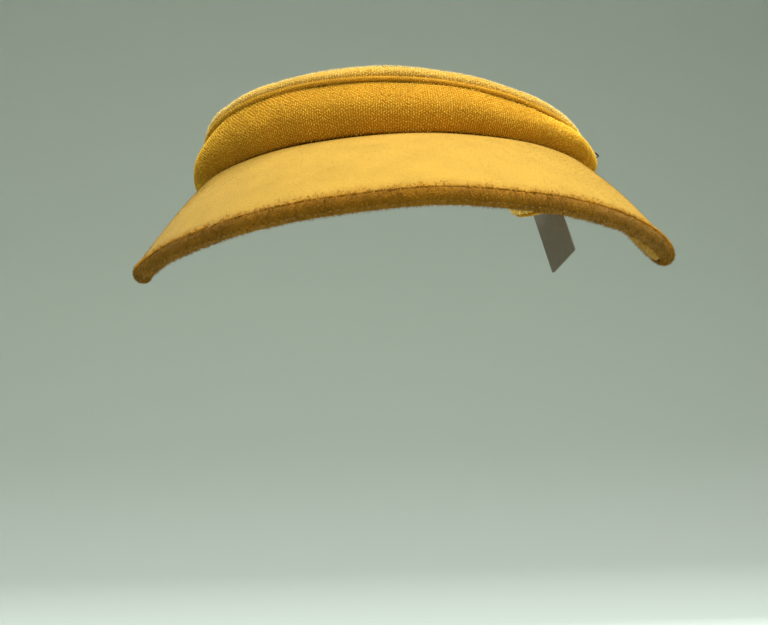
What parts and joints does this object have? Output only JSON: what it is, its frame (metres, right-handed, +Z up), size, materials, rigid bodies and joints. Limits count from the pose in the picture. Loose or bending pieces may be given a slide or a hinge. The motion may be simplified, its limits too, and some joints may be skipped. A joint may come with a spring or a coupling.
{
  "type": "sun visor",
  "caption": "Clip-on padded sun visor: a golden terry band with sprung arms, open at the back, and an arched padded brim.",
  "frame": {"origin": "middle of the head opening, level with the seam where the brim joins the band at the forehead", "axes": "+Z up along the wearer's head, -Y forward over the brim, +X to the wearer's left"},
  "size_m": [0.2286, 0.2318, 0.0777],
  "materials": {
    "terry": "looped terry towelling, golden yellow",
    "lining_terry": "looped terry towelling, golden yellow",
    "brushed_pile": "brushed short pile, golden yellow",
    "foam": "open-cell foam, cream",
    "spring_steel": "blued spring strip",
    "board": "stamped polyethylene sheet",
    "black_nylon": "moulded nylon",
    "grey_card": "uncoated card, blank"
  },
  "bodies": {
    "root": {"band_cover_front": "terry", "band_foam_front": "foam", "band_lining_front": "lining_terry", "band_piping_front": "terry", "band_roll_front": "lining_terry", "band_spring_front": "spring_steel", "brim_board": "board", "brim_foam_top": "foam", "brim_foam_under": "foam", "brim_top_cover": "brushed_pile", "brim_under_cover": "brushed_pile"},
    "arm_left": {"band_cover_arm_left": "terry", "band_foam_arm_left": "foam", "band_lining_arm_left": "lining_terry", "band_piping_arm_left": "terry", "band_roll_arm_left": "lining_terry", "band_spring_arm_left": "spring_steel", "tag_pin": "black_nylon"},
    "arm_right": {"band_cover_arm_right": "terry", "band_foam_arm_right": "foam", "band_lining_arm_right": "lining_terry", "band_piping_arm_right": "terry", "band_roll_arm_right": "lining_terry", "band_spring_arm_right": "spring_steel"},
    "tag": {"tag_card": "grey_card"}
  },
  "joints": [
    {"name": "arm_left_flex", "type": "hinge", "parent": "root", "child": "arm_left", "pos_m": [0.08304, -0.00975, 0], "axis": [0, 0, -1], "range_deg": [-3, 12], "stiffness_Nm_per_rad": 0.8},
    {"name": "arm_right_flex", "type": "hinge", "parent": "root", "child": "arm_right", "pos_m": [-0.08304, -0.00975, 0], "axis": [0, 0, 1], "range_deg": [-3, 12], "stiffness_Nm_per_rad": 0.8},
    {"name": "tag_swing", "type": "hinge", "parent": "arm_left", "child": "tag", "pos_m": [0.08013, 0.04878, -0.001], "axis": [0.8946, 0.4468, 0], "range_deg": [-75, 75]}
  ]
}
